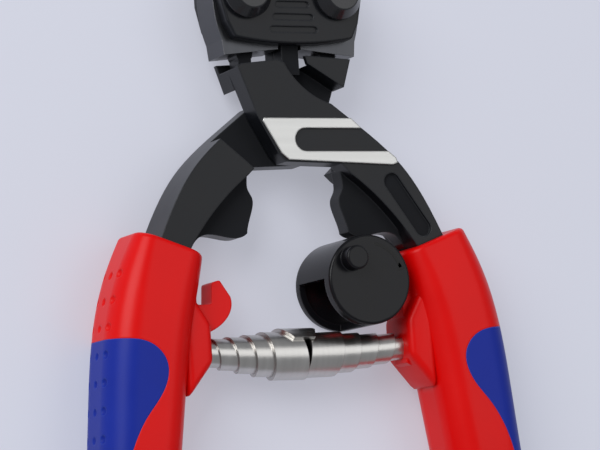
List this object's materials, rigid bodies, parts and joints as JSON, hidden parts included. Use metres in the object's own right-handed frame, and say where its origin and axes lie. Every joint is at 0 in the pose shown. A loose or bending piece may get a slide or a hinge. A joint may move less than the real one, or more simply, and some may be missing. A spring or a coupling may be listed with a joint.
{
  "type": "bolt cutters",
  "caption": "Compact lever-action bolt cutters with two-colour moulded grips, a coned opening spring and a turning drum lock, shown open.",
  "frame": {"origin": "middle of the tool's outline with the handles open, on the plane that the backs of the grips rest on", "axes": "+X to the right seen from the front, +Y towards the jaw tips, +Z out of the front"},
  "size_m": [0.1204, 0.1943, 0.0239],
  "materials": {
    "cutting_steel": "black oxide with a satin sheen",
    "forged_steel": "satin black coating",
    "bolt_steel": "dark satin",
    "spring_steel": "bare",
    "grip_shell": "satin moulded",
    "grip_panel": "matte moulded",
    "lock_plastic": "satin face and glossy wall"
  },
  "bodies": {
    "head": {"strap_front": "forged_steel", "strap_rear": "forged_steel", "jaw_bolt_left": "bolt_steel", "jaw_bolt_right": "bolt_steel", "jaw_nut_left": "bolt_steel", "jaw_nut_right": "bolt_steel", "handle_pivot_pin": "bolt_steel"},
    "right_handle": {"lever_right": "forged_steel", "grip_right": "grip_shell", "soft_panel_right": "grip_panel", "lock_spindle": "bolt_steel", "lock_wave_washer": "spring_steel"},
    "left_handle": {"lever_left": "forged_steel", "grip_left": "grip_shell", "soft_panel_left": "grip_panel"},
    "left_jaw": {"jaw_left": "cutting_steel"},
    "right_jaw": {"jaw_right": "cutting_steel"},
    "spring": {"opening_spring": "spring_steel"},
    "lock": {"lock_drum": "lock_plastic", "lock_rear_cap": "lock_plastic"}
  },
  "joints": [
    {"name": "handle_right", "type": "hinge", "parent": "head", "child": "right_handle", "pos_m": [0, 0.06684, 0.01], "axis": [0, 0, -1], "range_deg": [0, 13], "stiffness_Nm_per_rad": 2, "springref_deg": -5.73, "deforming": ["opening_spring"]},
    {"name": "handle_left", "type": "hinge", "parent": "head", "child": "left_handle", "pos_m": [0, 0.06684, 0.01], "axis": [0, 0, 1], "range_deg": [0, 13.1], "stiffness_Nm_per_rad": 2, "springref_deg": -5.73},
    {"name": "jaw_left", "type": "hinge", "parent": "head", "child": "left_jaw", "pos_m": [-0.0124, 0.07044, 0.01], "axis": [0, 0, -1], "range_deg": [0, 9.6]},
    {"name": "jaw_right", "type": "hinge", "parent": "head", "child": "right_jaw", "pos_m": [0.0124, 0.07044, 0.01], "axis": [0, 0, 1], "range_deg": [0, 9.6]},
    {"name": "spring_slide", "type": "slide", "parent": "head", "child": "spring", "axis": [0, -1, 0], "range_m": [0, 0.0041]},
    {"name": "lock_turn", "type": "hinge", "parent": "right_handle", "child": "lock", "pos_m": [0.015, -0.00116, 0.01], "axis": [0, 0, 1], "range_deg": [0, 30]}
  ],
  "couplings": [
    {"joint": "handle_left", "follows": "handle_right", "ratio": 1},
    {"joint": "jaw_left", "follows": "handle_right", "ratio": 0.7368},
    {"joint": "jaw_right", "follows": "handle_right", "ratio": 0.7368},
    {"joint": "spring_slide", "follows": "handle_right", "m_per_rad": 0.0176}
  ]
}
